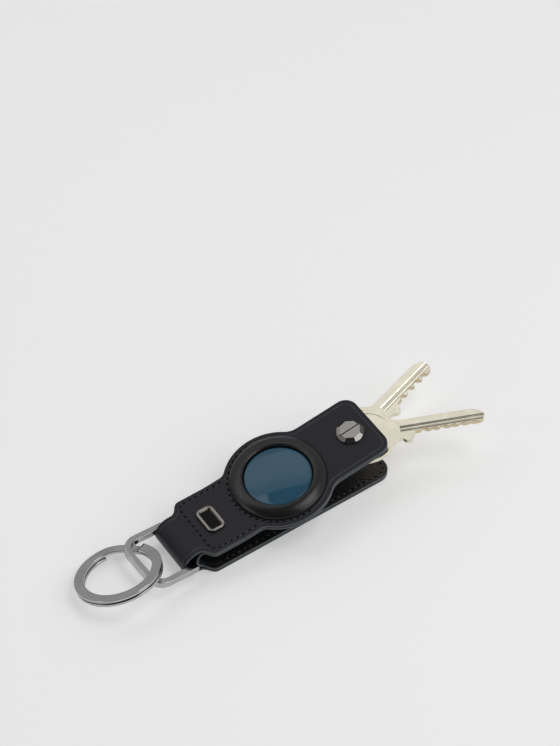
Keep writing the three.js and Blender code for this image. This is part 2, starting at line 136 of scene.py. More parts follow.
# Tracker front: a dome over a share of its radius, a soft edge and a thin wall down to its foot
DISC_RADIUS = 13.75
DISC_CROWN = 2.4
DISC_FALL = 0.8
DISC_DOME = 0.97
DISC_EDGE = ((13.55, 1.55), (13.70, 1.38), (13.75, 1.15))
DISC_FOOT = -2.45
DISC_INNER = 12.7
DISC_WALL = 0.9

# Plate
PLATE_S = 19.6
PLATE_LENGTH = 7.6
PLATE_WIDTH = 12.0
PLATE_THICK = 1.1
PLATE_CORNER = 2.2
PLATE_BORDER = 1.1
PLATE_SLOPE = 0.18
PLATE_RECESS = 0.5
PLATE_ROUND = 0.2
PLATE_LIFT = 0.02
PLATE_METAL = (0.25, 0.235, 0.215)
PLATE_ENAMEL = (0.006, 0.006, 0.007)

# Screw
SCREW_FOOT = 5.65
SCREW_TOP = 4.05
SCREW_HEIGHT = 2.2
SCREW_LIFT = 0.06
SCREW_FACETS = 8
SCREW_FACET_TURN = 10.7
SCREW_ROUND = 0.07
SHANK_RADIUS = 1.5
SHANK_LENGTH = 8.0
SLOT_WIDTH = 0.52
SLOT_DEPTH = 1.0
SLOT_TURN = math.radians(0.5)
SCREW_METAL = (0.27, 0.259, 0.247)

# Keys: sizes in a key's own plane, the screw at 0 and the blade along +X
KEY_THICK = 2.2
KEY_ROUND = 0.16
KEY_HOLE = 2.8
BOW_RADIUS = 12.35
BOW_X = 6.1
BOW_RIM = 1.7
DISH_DEPTH = 0.18
DISH_CUTTER = 1.0
KEY_SPINE = 4.85
KEY_NECK = -4.2
KEY_STOP = -5.8
KEY_STOP_START = 20.6
KEY_STOP_END = 26.2
# The bow's circle stops short of the spine and the neck by an angle, and soft corners lead into them
SPINE_OPEN = 12.0
NECK_OPEN = 9.0
SPINE_CORNER = 3.0
NECK_CORNER = 2.0
# Soft corners of the outline, each three offsets: from the stop, from the tip at the cut edge or the spine
STOP_NECK = ((-0.5, 0.0), (0.0, 0.0), (0.5, -0.5))
STOP_FOOT = ((1.3, 0.35), (1.8, 0.0), (2.4, 0.0))
STOP_HEEL = (3.4, 0.1)
TIP_EDGE = ((-2.2, 0.0), (-0.6, 0.4), (0.0, 2.6))
TIP_NOSE = ((-0.05, -3.0), (-0.4, -2.2), (-1.4, -1.6))
TIP_SPINE = ((-4.0, -0.25), (-4.7, 0.0), (-5.6, 0.0))
# Cuts: the first one's share of the pitch, half the width of a floor and the slope of the flanks
FIRST_CUT = 0.8
CUT_HALF = 0.5
CUT_FLANK = 0.75
# Bare brass of the cut edge: reach before the stop's end and above the deepest cut, tilt of its faces
BRASS_BEFORE = 0.4
BRASS_ABOVE = 0.3
BRASS_TILT = 0.6
# Round grooves milled along a blade: place across it, radius of the cutter and depth
KEY_GROOVES = ((0.7, 2.0, 0.32), (-0.8, 0.7, 0.2))
KEY_UNDER_GROOVE = (2.2, 1.4, 0.4)
GROOVE_GAP = 1.6
GROOVE_START = BOW_X + BOW_RADIUS + GROOVE_GAP
LONG_KEY = {"tip": 54.4, "edge": -1.5, "pitch": 3.8, "angle": -27.5, "base": -5.9,
            "cuts": (0.9, 0.5, 0.8, 0.3, 0.6, 0.4)}
SHORT_KEY = {"tip": 48.4, "edge": -2.5, "pitch": 4.4, "angle": 14.0, "base": -9.0,
             "cuts": (1.0, 1.7, 1.8, 1.1)}

# D-ring: its bar lies in the fold, slimmer than the arms, to clear the leather when the cover opens
LINK_WIRE = 2.55
LINK_HEIGHT = 3.1
LINK_HALF = 13.5
LINK_REACH = 19.15
LINK_CORNER = 7.0
LINK_SLIM = 0.3
LINK_TURN = math.radians(2.2)
LINK_DROP = math.radians(6.9)
LINK_PLACE = (FOLD_X + 3.65, 0, BEND_RADIUS)

# Split ring: one flat wire wound nearly twice, which steps down between two angles of its winding
COIL_RADIUS = 17.8
COIL_BAND = 4.0
COIL_WIRE = 1.25
COIL_GAP = 0.5
COIL_FIRST = 25.0
COIL_TOTAL = 662.0
COIL_STEP_DOWN = (304.0, 356.0)
COIL_PIECES = 300
COIL_PITCH = math.radians(-3.3)
COIL_LEAN = math.radians(-21.6)
COIL_PLACE = (FOLD_X - 22.5, 1.35, 7.85)

# Camera of the photograph: its focal length and the photograph's height are in pixels
SENSOR_WIDTH = 36.0
FOCAL_PIXELS = 2600.0
PHOTO_PIXELS = 746.0
CAMERA_TURN = math.radians(34.268)
CAMERA_DROP = math.radians(50.372)
CAMERA_FAR = 1088.167
CAMERA_NEAR = 10.0
CAMERA_TARGET = Vector((38.5, 55.465, 0.0))
VIEW_RIGHT = Vector((math.cos(CAMERA_TURN), -math.sin(CAMERA_TURN), 0))
VIEW_AWAY = Vector((math.sin(CAMERA_TURN), math.cos(CAMERA_TURN), 0))

# Studio, in metres: the walls are dim low down, and a dark ceiling comes down on the camera's side
FLOOR_SIZE = 8.0
FLOOR_DROP = 0.00005
FLOOR_GLOW = 0.333
WALL_LIGHT = 0.50
CEILING_LIGHT = 0.06
CEILING_HEIGHT = math.radians(68)
CEILING_START = (0.60, 0.68)
DIM_SHARE = 0.15
DIM_BAND = (0.07, 0.31)
# Soft boxes: name, place to the right, away and up from the disc, width, depth and brightness.
# One with a turn lies level over the case, the others face it.
SOFT_BOXES = (
    ("back_box", -0.607, 0.559, 1.00, 1.43, 0.465, 0.75, math.radians(12)),
    ("left_box", -0.696, 0.18, 1.00, 0.90, 0.24, 1.6, math.radians(12)),
    ("top_box", 0.36, 0.00, 1.00, 0.42, 0.42, 4.0, 0.0),
    ("right_box", 0.95, -0.45, 0.95, 0.8, 1.1, 1.9),
    ("front_box", -1.15, -0.45, 0.60, 0.5, 0.4, 1.5),
)
# Watts from each square metre of a soft box at a brightness of 1
BOX_POWER = (math.pi / 2) ** 2

# Vertices closer than this are merged
MERGE_DISTANCE = 0.0005


# Sizes and colours that a user would change

def length(name, text, millimetres):
    return bpy.props.FloatProperty(
        name=name, description=text, default=millimetres * MM, min=0.0,
        precision=5, subtype="DISTANCE", unit="LENGTH")


def colour(name, text, value):
    return bpy.props.FloatVectorProperty(
        name=name, description=text, default=value, size=3, min=0.0, max=1.0, subtype="COLOR")


class KeyCaseSizes(bpy.types.PropertyGroup):
    leather: length("Leather", "Thickness of the outer leather", 1.3)
    edge_round: length("Edge round", "Rounding of the painted edges", 0.34)
    crease_inset: length("Crease inset", "Distance of the pressed crease from the edge", 1.9)
    crease_width: length("Crease width", "Width of the pressed crease", 0.64)
    crease_depth: length("Crease depth", "Depth of the pressed crease", 0.2)
    stitch_pitch: length("Stitch pitch", "Distance from one needle hole to the next", 2.8)
    stitch_length: length("Stitch length", "Length of a stitch on the surface", 2.2)
    thread: length("Thread", "Width of the sewing thread", 0.62)
    needle_hole: length("Needle hole", "Radius of a needle hole", 0.52)
    metal_round: length("Metal round", "Rounding of the edges of the rings", 0.26)


class KeyCaseColours(bpy.types.PropertyGroup):
    leather: colour("Leather", "Smooth outer leather", (0.0165, 0.0155, 0.0210))
    # The edge paint colour is also the painted highlight line in the floor of the pressed crease
    edge_paint: colour("Edge paint", "Paint on the cut edges", (0.036, 0.049, 0.056))
    lining: colour("Lining", "Grained lining leather", (0.0080, 0.0079, 0.0085))
    thread: colour("Thread", "Waxed sewing thread", (0.016, 0.0155, 0.017))
    holder: colour("Holder", "Moulded ring round the tracker", (0.008, 0.0079, 0.0084))
    disc: colour("Disc", "Glossy front of the tracker", (0.030, 0.104, 0.167))
    gunmetal: colour("Gunmetal", "Plated rings and post", (0.485, 0.485, 0.49))
    brass: colour("Cut brass", "Cut edges of the keys", (0.64, 0.53, 0.36))
    nickel: colour("Nickel silver", "Keys", (0.86, 0.81, 0.665))


def size(name):
    return getattr(bpy.context.scene.key_case_sizes, name) / MM


def tint(name):
    return tuple(getattr(bpy.context.scene.key_case_colours, name))


# Shader maths

class Wire:
    """An output of a node, so that values can be added, subtracted and multiplied in an expression."""

    def __init__(self, finish, socket):
        self.finish = finish
        self.socket = socket

    def _maths(self, operation, other, swapped=False):
        pair = [other, self] if swapped else [self, other]
        return self.finish.node("ShaderNodeMath", {"operation": operation}, dict(enumerate(pair)))

    def __add__(self, other):
        return self._maths("ADD", other)

    def __sub__(self, other):
        return self._maths("SUBTRACT", other)

    def __mul__(self, other):
        return self._maths("MULTIPLY", other)

    def __rsub__(self, other):
        return self._maths("SUBTRACT", other, swapped=True)

    __radd__ = __add__
    __rmul__ = __mul__


class Nodes:
    """A node tree whose nodes are added by expressions."""

    def __init__(self, owner):
        owner.use_nodes = True
        self.nodes = owner.node_tree.nodes
        self.links = owner.node_tree.links

    def node(self, kind, settings=None, sockets=None, output=0):
        made = self.nodes.new(kind)
        for name, value in (settings or {}).items():
            setattr(made, name, value)
        for name, value in (sockets or {}).items():
            self.feed(made.inputs[name], value)
        return Wire(self, made.outputs[output])

    def feed(self, socket, value):
        if isinstance(value, Wire):
            self.links.new(value.socket, socket)
        elif isinstance(value, tuple) and socket.type == "RGBA":
            socket.default_value = (*value, 1.0)
        else:
            socket.default_value = value

    def steps(self, value, low, high):
        """0 at low, 1 at high, smooth between them."""
        sockets = {"Value": value, "From Min": low, "From Max": high}
        return self.node("ShaderNodeMapRange", {"interpolation_type": "SMOOTHSTEP"}, sockets)


class Finish(Nodes):
    """A material of one surface."""

    def __init__(self, name):
        self.material = bpy.data.materials.new(name)
        super().__init__(self.material)
        self.shader = self.nodes["Principled BSDF"]

    def place(self, turn=0.0, stretch=(1.0, 1.0, 1.0)):
        """Object coordinates in millimetres, turned about Z and stretched."""
        spot = self.node("ShaderNodeTexCoord", output="Object")
        scale = tuple(s / MM for s in stretch)
        sockets = {"Vector": spot, "Angle": turn}
        rotated = self.node("ShaderNodeVectorRotate", {"rotation_type": "Z_AXIS"}, sockets)
        return self.node("ShaderNodeVectorMath", {"operation": "MULTIPLY"}, {0: rotated, 1: scale})

    def noise(self, spot, scale, detail=2.0):
        sockets = {"Vector": spot, "Scale": scale, "Detail": detail}
        return self.node("ShaderNodeTexNoise", None, sockets, "Fac")

    def cells(self, spot, scale):
        sockets = {"Vector": spot, "Scale": scale, "Smoothness": 0.5}
        return self.node("ShaderNodeTexVoronoi", {"feature": "SMOOTH_F1"}, sockets, "Distance")

    def between(self, factor, dark, light):
        """A colour between two others."""
        return self.node("ShaderNodeMix", {"data_type": "RGBA"}, {0: factor, 6: dark, 7: light}, 2)

    def shades(self, factor, base, low, high):
        """A colour between two shades of a base colour."""
        return self.between(factor, shade(base, low), shade(base, high))

    def relief(self, height, depth):
        """A normal raised by a height from 0 to 1, depth in millimetres."""
        sockets = {"Height": height, "Distance": depth * MM, "Strength": 1.0}
        return self.node("ShaderNodeBump", None, sockets)

    def surface(self, **sockets):
        for name, value in sockets.items():
            self.feed(self.shader.inputs[name.replace("_", " ")], value)
        return self.material


def shade(value, factor):
    return tuple(channel * factor for channel in value)


def leather_finish(name, base, grain, depth, roughness, specular):
    finish = Finish(name)
    spot = finish.place()
    pebble = finish.cells(spot, grain)
    pores = finish.noise(spot, 3.5 * grain, 3.0)
    cloud = finish.noise(spot, 0.09, 3.0)
    height = pebble * 0.75 + pores * 0.25
    tone = finish.shades(finish.steps(cloud, 0.3, 0.7), base, 0.86, 1.14)
    tone = finish.between(finish.steps(pebble, 0.1, 0.55), tone, shade(base, 1.25))
    return finish.surface(
        Base_Color=tone, Roughness=roughness + (cloud - 0.5) * 0.12 + (pores - 0.5) * 0.1,
        Normal=finish.relief(height, depth), Specular_IOR_Level=specular)


# Edge paint for the cut edges, also used as a painted highlight line in the floor of the pressed crease
def edge_paint_finish():
    finish = Finish("edge_paint")
    spot = finish.place()
    ripple = finish.noise(spot, 0.7, 3.0)
    tone = finish.shades(ripple, tint("edge_paint"), 0.75, 1.25)
    return finish.surface(
        Base_Color=tone, Roughness=0.36 + (ripple - 0.5) * 0.16, Normal=finish.relief(ripple, 0.05))


def thread_finish():
    finish = Finish("waxed_thread")
    spot = finish.place()
    twist = finish.noise(spot, 5.0, 2.0)
    tone = finish.shades(twist, tint("thread"), 0.6, 1.9)
    return finish.surface(Base_Color=tone, Roughness=0.36, Normal=finish.relief(twist, 0.06))


def holder_finish():
    finish = Finish("satin_holder")
    spot = finish.place()
    frost = finish.noise(spot, 5.0, 3.0)
    cloud = finish.noise(spot, 0.12, 2.0)
    tone = finish.shades(cloud, tint("holder"), 0.9, 1.1)
    return finish.surface(
        Base_Color=tone, Roughness=0.28 + (cloud - 0.5) * 0.04 + (frost - 0.5) * 0.06,
        Normal=finish.relief(frost, 0.012))


def disc_finish():
    finish = Finish("glossy_disc")
    spot = finish.place()
    haze = finish.noise(spot, 0.25, 3.0)
    dust = finish.steps(finish.noise(spot, 3.0, 2.0), 0.70, 0.78)
    tone = finish.shades(haze, tint("disc"), 0.94, 1.06)
    return finish.surface(
        Base_Color=tone, Roughness=0.035 + haze * 0.02 + dust * 0.05, Specular_IOR_Level=0.38)


def metal_finish(name, base, roughness, turn=0.0, stretch=(1.0, 1.0, 1.0), brushed=0.05):
    finish = Finish(name)
    brush = finish.noise(finish.place(turn, stretch), 2.4, 4.0)
    cloud = finish.noise(finish.place(), 0.16, 2.0)
    wear = finish.steps(cloud, 0.35, 0.75)
    tone = finish.shades(wear, base, 0.93, 1.05)
    return finish.surface(
        Base_Color=tone, Metallic=1.0, Normal=finish.relief(brush, 0.015 * brushed),
        Roughness=roughness + (brush - 0.5) * brushed * 2 + (cloud - 0.5) * brushed)


def moulded_finish(name, base, roughness, specular=0.5):
    finish = Finish(name)
    frost = finish.noise(finish.place(), 4.0, 3.0)
    tone = finish.shades(frost, base, 0.9, 1.1)
    return finish.surface(
        Base_Color=tone, Roughness=roughness + (frost - 0.5) * 0.1,
        Normal=finish.relief(frost, 0.01), Specular_IOR_Level=specular)


def floor_finish():
    finish = Finish("pale_floor")
    cloud = finish.noise(finish.place(), 0.004, 2.0)
    tone = finish.between(cloud, (0.80, 0.80, 0.80), (0.82, 0.82, 0.82))
    return finish.surface(
        Base_Color=tone, Roughness=0.7, Specular_IOR_Level=0.2,
        Emission_Color=(1.0, 1.0, 1.0), Emission_Strength=FLOOR_GLOW)


# Modelling helpers: pieces are shaped in millimetres and settled in metres

def clear_selection():
    bpy.ops.object.select_all(action="DESELECT")


def new_object(primitive, **settings):
    """A new object from one of the add operators, selected alone."""
    clear_selection()
    primitive(**settings)
    return bpy.context.object


def activate(piece):
    clear_selection()
    piece.select_set(True)
    bpy.context.view_layer.objects.active = piece


def open_edit(piece, kind="VERT"):
    activate(piece)
    bpy.ops.object.mode_set(mode="EDIT")
    bpy.ops.mesh.select_mode(type=kind)


def close_edit():
    bpy.ops.object.mode_set(mode="OBJECT")


def select_whole():
    bpy.ops.mesh.select_all(action="SELECT")


def extrude(move):
    bpy.ops.mesh.extrude_region_move(TRANSFORM_OT_translate={"value": move})


def pick(piece, test, kind="FACE"):
    """Opens a piece in edit mode with only the parts that pass the test selected."""
    open_edit(piece, kind)
    bpy.ops.mesh.select_all(action="DESELECT")
    close_edit()
    mesh = piece.data
    parts = {"VERT": mesh.vertices, "FACE": mesh.polygons}[kind]
    for part in parts:
        part.select = test(part)
    bpy.ops.object.mode_set(mode="EDIT")


def lies_at(face, level):
    """A flat face that looks up at a height."""
    return face.normal.z > 0.9 and abs(face.center.z - level) < 0.02


def apply_modifier(piece, kind, **settings):
    activate(piece)
    modifier = piece.modifiers.new(kind.title(), kind)
    for name, value in settings.items():
        setattr(modifier, name, value)
    bpy.ops.object.modifier_apply(modifier=modifier.name)


def thicken(piece, thickness, offset, **settings):
    """Turns a flat face into a plate of even thickness."""
    apply_modifier(piece, "SOLIDIFY", thickness=thickness, offset=offset, use_even_offset=True, **settings)


def round_edges(piece, width, segments=3, angle=50.0, **settings):
    apply_modifier(piece, "BEVEL", width=width, segments=segments, limit_method="ANGLE",
                   angle_limit=math.radians(angle), **settings)


def carve(piece, cutter):
    apply_modifier(piece, "BOOLEAN", operation="DIFFERENCE", solver="MANIFOLD", object=cutter)
    bpy.data.objects.remove(cutter)


def face_outwards(piece):
    open_edit(piece)
    select_whole()
    bpy.ops.mesh.remove_doubles(threshold=MERGE_DISTANCE)
    bpy.ops.mesh.normals_make_consistent(inside=False)
    close_edit()


def cut_blank(outline):
    """A flat face in the shape of an outline, cut from a round blank."""
    blank = new_object(bpy.ops.mesh.primitive_circle_add, vertices=len(outline), fill_type="NGON")
    for vertex, point in zip(blank.data.vertices, outline):
        vertex.co = (*point, 0)
    blank.data.update()
    if blank.data.polygons[0].normal.z < 0:
        open_edit(blank, "FACE")
        select_whole()
        bpy.ops.mesh.flip_normals()
        close_edit()
    return blank


def flat_sheet(width_x, width_y):
    sheet = new_object(bpy.ops.mesh.primitive_plane_add, size=1)
    sheet.data.transform(Matrix.Diagonal((width_x, width_y, 1, 1)))
    return sheet


def rod(radius, height, centre=(0, 0, 0), vertices=64):
    """A round bar along Z."""
    made = new_object(
        bpy.ops.mesh.primitive_cylinder_add, vertices=vertices, radius=radius, depth=height)
    made.data.transform(Matrix.Translation(centre))
    return made


def bar(length_x, width_y, depth_z, centre, turn=0.0):
    """A square bar, turned about Z."""
    made = new_object(bpy.ops.mesh.primitive_cube_add, size=1)
    made.data.transform(Matrix.Diagonal((length_x, width_y, depth_z, 1)))
    made.data.transform(Matrix.Rotation(turn, 4, "Z") @ Matrix.Translation(centre))
    return made


def join_pieces(pieces):
    clear_selection()
    for piece in pieces:
        piece.select_set(True)
    bpy.context.view_layer.objects.active = pieces[0]
    bpy.ops.object.join()
    return bpy.context.object


def turned(profile, steps):
    """A body turned about Z from the profile's points of radius and height, as on a lathe."""
    piece = new_object(bpy.ops.mesh.primitive_plane_add, size=1)
    open_edit(piece)
    select_whole()
    bpy.ops.mesh.merge(type="CENTER")
    here = Vector((0, 0, 0))
    for number, (radius, height) in enumerate(profile):
        move = Vector((radius, 0, height)) - here
        if number:
            extrude(move)
        else:
            bpy.ops.transform.translate(value=move)
        here += move
    select_whole()
    bpy.ops.mesh.spin(steps=steps, angle=math.tau, center=(0, 0, 0), axis=(0, 0, 1))
    close_edit()
    face_outwards(piece)
    return piece


def paint(piece, *materials):
    piece.data.materials.clear()
    for material in materials:
        piece.data.materials.append(material)


def paint_picked(piece, test):
    """Gives the faces that pass the test the second material of a piece."""
    pick(piece, test)
    piece.active_material_index = 1
    bpy.ops.object.material_slot_assign()
    close_edit()


def settle(piece, name, place=Matrix.Identity(4), angle=35.0):
    """Names a finished piece, puts its mesh in its place in the frame and smooths its shading."""
    piece.data.transform(Matrix.Scale(MM, 4) @ place)
    piece.name = name
    piece.data.name = name
    activate(piece)
    bpy.ops.object.shade_smooth_by_angle(angle=math.radians(angle))
    apply_modifier(piece, "WEIGHTED_NORMAL", mode="FACE_AREA", weight=50, keep_sharp=True)


def dress(piece, body, slot, *nodes):
    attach(piece, body)
    if nodes:
        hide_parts(*nodes)


# Lines of the leather

def arc(x, y, radius, start, end, steps):
    points = []
    for number in range(steps + 1):
        angle = math.radians(start + (end - start) * number / steps)
        points.append((x + radius * math.cos(angle), y + radius * math.sin(angle)))
    return points


def shoulder_curve(shift):
    """The strap's half width from the neck to the shoulder."""
    middle = (NECK_END_S + SHOULDER_S) / 2
    points = []
    for number in range(11):
        u = number / 10
        s = NECK_END_S * (1 - u) ** 3 + middle * 3 * u * (1 - u) + SHOULDER_S * u ** 3
        half = NECK_HALF + (COVER_HALF - NECK_HALF) * (3 * u * u - 2 * u ** 3)
        points.append((s + shift, half))
    return points


def lower_side(shift, grow=0.0):
    """The rounded end of the lower cover, grown outwards."""
    end = LOWER_END_S + shift + grow
    half = COVER_HALF + grow
    corner = LOWER_CORNER + grow
    return arc(end - corner, half - corner, corner, 0, 90, 10)


def upper_side(shift):
    """One side of the upper cover, from the strap round the bulge to the end of the tab."""
    ring = RING_S + shift
    end = TAB_END_S + shift
    strap_dx = math.sqrt((BULGE_RADIUS + STRAP_FILLET) ** 2 - (COVER_HALF + STRAP_FILLET) ** 2)
    tab_dx = math.sqrt((BULGE_RADIUS + TAB_FILLET) ** 2 - (TAB_HALF + TAB_FILLET) ** 2)
    strap_angle = math.degrees(math.atan2(COVER_HALF + STRAP_FILLET, strap_dx))
    tab_angle = math.degrees(math.atan2(TAB_HALF + TAB_FILLET, tab_dx))
    side = arc(ring - strap_dx, COVER_HALF + STRAP_FILLET, STRAP_FILLET, -90, -strap_angle, 6)
    side += arc(ring, 0, BULGE_RADIUS, 180 - strap_angle, tab_angle, 44)[1:-1]
    side += arc(ring + tab_dx, TAB_HALF + TAB_FILLET, TAB_FILLET, 180 + tab_angle, 270, 8)
    side += arc(end - TAB_CORNER, TAB_HALF - TAB_CORNER, TAB_CORNER, 90, 0, 10)
    return side


def both_sides(side):
    """A path along one side and back along the other."""
    return side + [(t, -v) for t, v in reversed(side)]


def strip_outline(shift):
    """Outline of the unfolded strip. Lengths count from the crest of the fold, the lower cover below 0."""
    shoulder = shoulder_curve(shift)
    lower = [(-t, v) for t, v in lower_side(shift) + shoulder[::-1]]
    return both_sides(lower + shoulder + upper_side(shift))


def path_lengths(path):
    """Length of a path up to each of its points."""
    lengths = [0.0]
    for a, b in zip(path, path[1:]):
        lengths.append(lengths[-1] + math.dist(a, b))
    return lengths


def spots_along(path, lengths, places):
    """Points of a path at rising lengths, each with the direction of the path there."""
    piece = 0
    for here in places:
        while lengths[piece + 1] < here:
            piece += 1
        share = (here - lengths[piece]) / (lengths[piece + 1] - lengths[piece])
        (ax, ay), (bx, by) = path[piece], path[piece + 1]
        yield ax + (bx - ax) * share, ay + (by - ay) * share, math.atan2(by - ay, bx - ax)


def fold_line(depth, crest):
    """Side line of a face of the leather round the fold, at even steps, and its length up to the crest."""
    radius = BEND_RADIUS - depth
    centre = FOLD_X + crest + radius
    rough = [(FOLD_X + GUIDE_LOWER, depth)]
    rough += arc(centre, BEND_RADIUS, radius, -90, -180, BEND_POINTS)
    to_crest = len(rough) - 1
    rough += arc(centre, BEND_RADIUS, radius, 180, 90, BEND_POINTS)[1:]
    rough += arc(RISE_X - RISE_REACH, STRAP_TOP + RISE_RADIUS, RISE_RADIUS + depth,
                 -90, -90 + math.degrees(PANEL_RISE), RISE_POINTS)
    x, z = rough[-1]
    rough.append((x + GUIDE_UPPER * math.cos(PANEL_RISE), z + GUIDE_UPPER * math.sin(PANEL_RISE)))
    lengths = path_lengths(rough)
    places = [number * GUIDE_STEP for number in range(int(lengths[-1] / GUIDE_STEP) + 1)]
    points = [(x, z) for x, z, _ in spots_along(rough, lengths, places)]
    return points, lengths[to_crest]


OUTER_LINE = fold_line(0.0, 0.0)
LINING_LINE = fold_line(GLUE_DEPTH, LINING_CENTRE_S - LINING_BEND)


def bend_along(piece, line):
    """Folds a flat piece along a line of the leather."""
    points, crest = line
    guide = bpy.data.curves.new("fold_guide", "CURVE")
    guide.dimensions = "2D"
    spline = guide.splines.new("POLY")
    spline.points.add(len(points) - 1)
    for spot, (x, z) in zip(spline.points, points):
        spot.co = (x, z, 0, 1)
    holder = bpy.data.objects.new("fold_guide", guide)
    bpy.context.scene.collection.objects.link(holder)
    piece.data.transform(Matrix.Rotation(-math.pi / 2, 4, "X") @ Matrix.Translation((crest, 0, 0)))
    apply_modifier(piece, "CURVE", object=holder, deform_axis="POS_X")
    piece.data.transform(Matrix.Rotation(math.pi / 2, 4, "X"))
    bpy.data.objects.remove(holder)
    bpy.data.curves.remove(guide)


def slice_for_folds(piece, bend_reach, shift):
    """Cuts edges across a flat strip where it will bend."""
    cuts = [-bend_reach + 2 * bend_reach * number / BEND_CUTS for number in range(BEND_CUTS + 1)]
    for number in range(RISE_CUTS + 1):
        cuts.append(RISE_S + shift - RISE_REACH + 2 * RISE_REACH * number / RISE_CUTS)
    open_edit(piece)
    for t in cuts:
        select_whole()
        bpy.ops.mesh.bisect(plane_co=(t, 0, 0), plane_no=(1, 0, 0))
    close_edit()


def creased_strip(shift, thick, top, edge):
    """The flat strip of one leather: a pressed crease in its upper face, a flat back, edges rounded, a
    painted highlight line of edge paint in the crease's floor.
    """
    strip = cut_blank(strip_outline(shift))
    half = size("crease_width") / 2
    margin = size("crease_inset") - half - size("edge_round")
    paint(strip, top, edge)
    thicken(strip, thick, -1, material_offset_rim=1)
    round_edges(strip, size("edge_round"), angle=60)
    pick(strip, lambda face: lies_at(face, 0.0))
    bpy.ops.mesh.inset(thickness=margin)
    bpy.ops.mesh.inset(thickness=half, depth=-size("crease_depth"))
    bpy.ops.mesh.inset(thickness=half, depth=size("crease_depth"))
    bpy.ops.mesh.inset(thickness=half / 2)
    close_edit()
    # The crease's rounded floor takes the edge paint: a painted highlight line
    round_edges(strip, CREASE_HIGHLIGHT_ROUND, angle=60, material=1)
    return strip


# Seams

def walk(path, pitch):
    """Middles and directions of equal steps along a path."""
    lengths = path_lengths(path)
    count = max(1, round(lengths[-1] / pitch))
    places = [(number + 0.5) * lengths[-1] / count for number in range(count)]
    return list(spots_along(path, lengths, places))


def seam_paths():
    """The seam round the strap, the one round the tracker and the one round the lower cover."""
    inset = size("crease_inset")
    half = COVER_HALF - inset
    ring = BULGE_RADIUS - inset
    reach = RING_S - math.sqrt(ring ** 2 - half ** 2) - SEAM_GAP
    strap = [(reach, half)]
    strap += arc(CROSS_SEAM_S + SEAM_CORNER, half - SEAM_CORNER, SEAM_CORNER, 90, 180, 4)
    round_seam = arc(RING_S, 0, ring, *ROUND_SEAM, 60)
    lower = [(SHOULDER_S + SEAM_START, half)] + lower_side(0.0, -inset)[::-1]
    return both_sides(strap), round_seam, both_sides(lower)


def needle_holes(paths):
    """Spots between the stitches of each path, where the thread goes through the leather."""
    spots = []
    for path in paths:
        steps = walk(path, size("stitch_pitch"))
        for (ax, ay, _), (bx, by, _) in zip(steps, steps[1:]):
            spots.append(((ax + bx) / 2, (ay + by) / 2, math.atan2(by - ay, bx - ax)))
    return spots


def needle_cutter(paths, shift, side, level):
    """Cutters for the slanted needle holes of some paths, joined. Thread fills the holes lower down."""
    made = []
    for s, v, angle in needle_holes(paths):
        awl = rod(size("needle_hole"), 2 * NEEDLE_DEPTH, vertices=8)
        turn = Matrix.Rotation(side * angle + math.radians(NEEDLE_SLANT), 4, "Z")
        spot = Matrix.Translation((side * (s + shift), v, level))
        awl.data.transform(spot @ turn @ Matrix.Diagonal((*NEEDLE_BLADE, 1, 1)))
        made.append(awl)
    return join_pieces(made)


def sew(paths, shift, height, line, side):
    """Stitches folded onto a line of the leather. side is 1 on the upper cover and -1 on the lower."""
    stitch = new_object(bpy.ops.mesh.primitive_uv_sphere_add, segments=10, ring_count=8, radius=1)
    stitch.data.transform(Matrix.Rotation(math.pi / 2, 4, "Y"))
    half = (size("stitch_length") / 2, size("thread") / 2, THREAD_RISE * size("thread"))
    stitch.data.transform(Matrix.Diagonal((*half, 1)))
    made = []
    for path in paths:
        for s, v, angle in walk(path, size("stitch_pitch")):
            copy = stitch.copy()
            copy.data = stitch.data.copy()
            turn = Matrix.Rotation(side * angle + math.radians(STITCH_SLANT), 4, "Z")
            copy.data.transform(Matrix.Translation((side * (s + shift), v, height)) @ turn)
            bpy.context.scene.collection.objects.link(copy)
            made.append(copy)
    bpy.data.objects.remove(stitch)
    seam = join_pieces(made)
    bend_along(seam, line)
    return seam


def pierce(strip, shift, level):
    """Cuts the needle holes, the holder's hole and the post's hole in a flat strip."""
    strap, round_seam, lower = seam_paths()
    carve(strip, needle_cutter([strap, round_seam], shift, 1, level))
    carve(strip, needle_cutter([lower], shift, -1, level))
    carve(strip, rod(HOLDER_HOLE, CUTTER_LENGTH, (RING_S + shift, 0, 0)))
    carve(strip, rod(POST_HOLE, CUTTER_LENGTH, (SCREW_S + shift, 0, 0), 24))


def fold_strip(strip, name, shift, radius, line):
    """Folds a pierced strip and settles it."""
    slice_for_folds(strip, radius * math.pi / 2, shift)
    bend_along(strip, line)
    settle(strip, name)
    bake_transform(strip)


# Operators, one for each piece or group of like pieces

class MakeOuterLeather(bpy.types.Operator):
    """Outer leather: one strip from the lower cover round the fold to the tab, with painted edges"""
    bl_idname = "keycase.outer_leather"
    bl_label = "Outer leather"

    def execute(self, context):
        smooth = leather_finish("smooth_leather", tint("leather"), grain=1.5, depth=0.018,
                                roughness=0.46, specular=0.28)
        strip = creased_strip(OUTER_SHIFT, size("leather"), smooth, edge_paint_finish())
        carve(strip, bar(CROSS_GROOVE_WIDTH, CROSS_GROOVE_LENGTH, 2 * CROSS_GROOVE_DEPTH,
                         (CROSS_SEAM_S + OUTER_SHIFT, 0, 0)))
        pierce(strip, OUTER_SHIFT, 0.0)
        fold_strip(strip, "outer_leather", OUTER_SHIFT, BEND_RADIUS, OUTER_LINE)
        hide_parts("lower_cover", "upper_cover")
        return {"FINISHED"}


